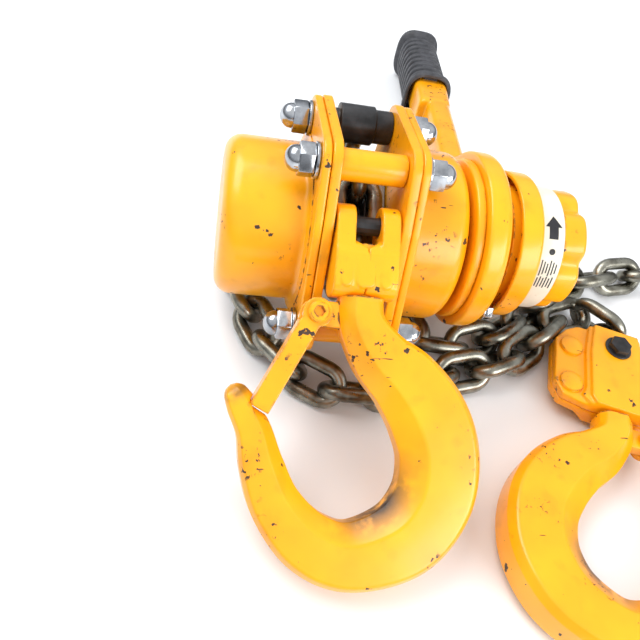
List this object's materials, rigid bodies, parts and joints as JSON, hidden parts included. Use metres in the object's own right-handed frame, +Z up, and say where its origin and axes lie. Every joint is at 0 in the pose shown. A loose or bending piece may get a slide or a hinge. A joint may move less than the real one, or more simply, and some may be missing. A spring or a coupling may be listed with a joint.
{
  "type": "lever chain hoist",
  "caption": "Lever chain hoist with a ratchet lever, free-chaining handwheel, geared chain sheave between frame plates and two swivel hooks with sprung latches.",
  "frame": {"origin": "under the middle of the part's box, on the floor it lies on", "axes": "+X along the sheave axis from the gear cover to the handwheel, +Y towards the lever's grip, +Z up"},
  "size_m": [0.2734, 0.4348, 0.1175],
  "materials": {
    "yellow_paint": "gloss, worn at the edges",
    "zinc": "bright zinc plate",
    "steel": "machined, oiled",
    "chain_steel": "dark heat-treated, oiled",
    "black_steel": "black oxide",
    "friction": "friction lining",
    "rubber": "ribbed, matt",
    "label": "printed film"
  },
  "bodies": {
    "frame": {"gear_cover": "yellow_paint", "gear_side_plate": "yellow_paint", "brake_side_plate": "yellow_paint", "brake_cover": "yellow_paint", "stay_bolt_back": "zinc", "stay_bolt_front": "zinc", "stay_bolt_lower": "zinc", "cap_nut_back_gear": "zinc", "cap_nut_back_brake": "zinc", "cap_nut_front_gear": "zinc", "cap_nut_front_brake": "zinc", "cap_nut_lower_gear": "zinc", "cap_nut_lower_brake": "zinc", "front_stay_tube": "yellow_paint", "lower_stay_tube": "yellow_paint", "chain_guide": "steel", "top_pin": "steel", "chain_load_strand": "chain_steel", "chain_tail_strand": "chain_steel"},
    "guide_roller": {"guide_roller": "black_steel"},
    "sheave": {"load_sheave": "steel", "load_gear": "steel", "wrapped_chain": "chain_steel"},
    "upper_gear": {"reduction_gear_upper": "steel"},
    "lower_gear": {"reduction_gear_lower": "steel"},
    "pinion": {"pinion_shaft": "steel", "brake_hub": "steel", "change_gear": "steel"},
    "handwheel": {"handwheel_skirt": "yellow_paint", "knob": "yellow_paint", "label_band": "label", "shaft_nut": "zinc"},
    "ratchet": {"ratchet_disc": "steel", "friction_disc_inner": "friction", "friction_disc_outer": "friction"},
    "pawl_upper": {"brake_pawl_upper": "steel"},
    "pawl_lower": {"brake_pawl_lower": "steel"},
    "lever": {"lever": "yellow_paint", "lever_outer_shell": "yellow_paint", "grip": "rubber", "lever_bolt_1": "zinc", "lever_bolt_2": "zinc", "lever_bolt_3": "zinc"},
    "selector": {"selector": "black_steel"},
    "top_yoke": {"top_yoke_gear_half": "yellow_paint", "top_yoke_brake_half": "yellow_paint"},
    "top_hook": {"top_hook": "yellow_paint", "top_latch_pin": "yellow_paint"},
    "top_latch": {"top_latch": "yellow_paint"},
    "bottom_yoke": {"bottom_yoke_upper": "yellow_paint", "bottom_yoke_lower": "yellow_paint", "bottom_rivet_1": "yellow_paint", "bottom_rivet_2": "yellow_paint", "bottom_rivet_3": "yellow_paint", "bottom_rivet_4": "yellow_paint", "chain_bolt": "black_steel"},
    "bottom_hook": {"bottom_hook": "yellow_paint", "bottom_latch_pin": "yellow_paint"},
    "bottom_latch": {"bottom_latch": "yellow_paint"}
  },
  "joints": [
    {"name": "guide_roller_spin", "type": "hinge", "parent": "frame", "child": "guide_roller", "pos_m": [-0.07669, -0.00599, 0.09887], "axis": [1, 0, 0], "continuous": true},
    {"name": "sheave_spin", "type": "hinge", "parent": "frame", "child": "sheave", "pos_m": [-0.07669, -0.02999, 0.05707], "axis": [1, 0, 0], "continuous": true},
    {"name": "upper_gear_spin", "type": "hinge", "parent": "frame", "child": "upper_gear", "pos_m": [-0.12469, -0.02207, 0.07406], "axis": [1, 0, 0], "continuous": true},
    {"name": "lower_gear_spin", "type": "hinge", "parent": "frame", "child": "lower_gear", "pos_m": [-0.12469, -0.03791, 0.04008], "axis": [1, 0, 0], "continuous": true},
    {"name": "pinion_spin", "type": "hinge", "parent": "frame", "child": "pinion", "pos_m": [-0.07669, -0.02999, 0.05707], "axis": [1, 0, 0], "continuous": true},
    {"name": "handwheel_pull", "type": "slide", "parent": "pinion", "child": "handwheel", "axis": [1, 0, 0], "range_m": [0, 0.005], "stiffness_N_per_m": 1200, "springref_m": -0.004},
    {"name": "ratchet_spin", "type": "hinge", "parent": "frame", "child": "ratchet", "pos_m": [-0.04269, -0.02999, 0.05707], "axis": [1, 0, 0], "continuous": true},
    {"name": "pawl_upper_swing", "type": "hinge", "parent": "frame", "child": "pawl_upper", "pos_m": [-0.04269, -0.06167, 0.0742], "axis": [1, 0, 0], "range_deg": [0, 6], "stiffness_Nm_per_rad": 0.01, "springref_deg": -17.19},
    {"name": "pawl_lower_swing", "type": "hinge", "parent": "frame", "child": "pawl_lower", "pos_m": [-0.04269, 0.00169, 0.03994], "axis": [1, 0, 0], "range_deg": [0, 6], "stiffness_Nm_per_rad": 0.01, "springref_deg": -17.19},
    {"name": "lever_swing", "type": "hinge", "parent": "frame", "child": "lever", "pos_m": [-0.01669, -0.02999, 0.05707], "axis": [1, 0, 0], "range_deg": [0, 185]},
    {"name": "selector_tilt", "type": "hinge", "parent": "lever", "child": "selector", "pos_m": [-0.01069, -0.01799, 0.07786], "axis": [1, 0, 0], "range_deg": [-25, 25]},
    {"name": "top_yoke_swing", "type": "hinge", "parent": "frame", "child": "top_yoke", "pos_m": [-0.07669, -0.06149, 0.08807], "axis": [1, 0, 0], "range_deg": [-45, 0]},
    {"name": "top_hook_swivel", "type": "hinge", "parent": "top_yoke", "child": "top_hook", "pos_m": [-0.07669, -0.08642, 0.07138], "axis": [0, -0.831, -0.5563], "range_deg": [-16, 16]},
    {"name": "top_latch_swing", "type": "hinge", "parent": "top_hook", "child": "top_latch", "pos_m": [-0.09519, -0.09348, 0.06665], "axis": [0, 0.5563, -0.831], "range_deg": [-35, 0], "stiffness_Nm_per_rad": 0.06, "springref_deg": 17.19},
    {"name": "bottom_yoke_swing", "type": "hinge", "parent": "frame", "child": "bottom_yoke", "pos_m": [0.08031, -0.06399, 0.01267], "axis": [0, 0, 1], "range_deg": [-2, 10]},
    {"name": "bottom_hook_swivel", "type": "hinge", "parent": "bottom_yoke", "child": "bottom_hook", "pos_m": [0.07154, -0.09268, 0.01267], "axis": [-0.2924, -0.9563, 0], "continuous": true},
    {"name": "bottom_latch_swing", "type": "hinge", "parent": "bottom_hook", "child": "bottom_latch", "pos_m": [0.08353, -0.11674, 0.01267], "axis": [0, 0, 1], "range_deg": [-35, 0], "stiffness_Nm_per_rad": 0.06, "springref_deg": 17.19}
  ],
  "couplings": [
    {"joint": "upper_gear_spin", "follows": "sheave_spin", "ratio": -2.75},
    {"joint": "lower_gear_spin", "follows": "sheave_spin", "ratio": -2.75},
    {"joint": "pinion_spin", "follows": "sheave_spin", "ratio": 7.5625}
  ]
}
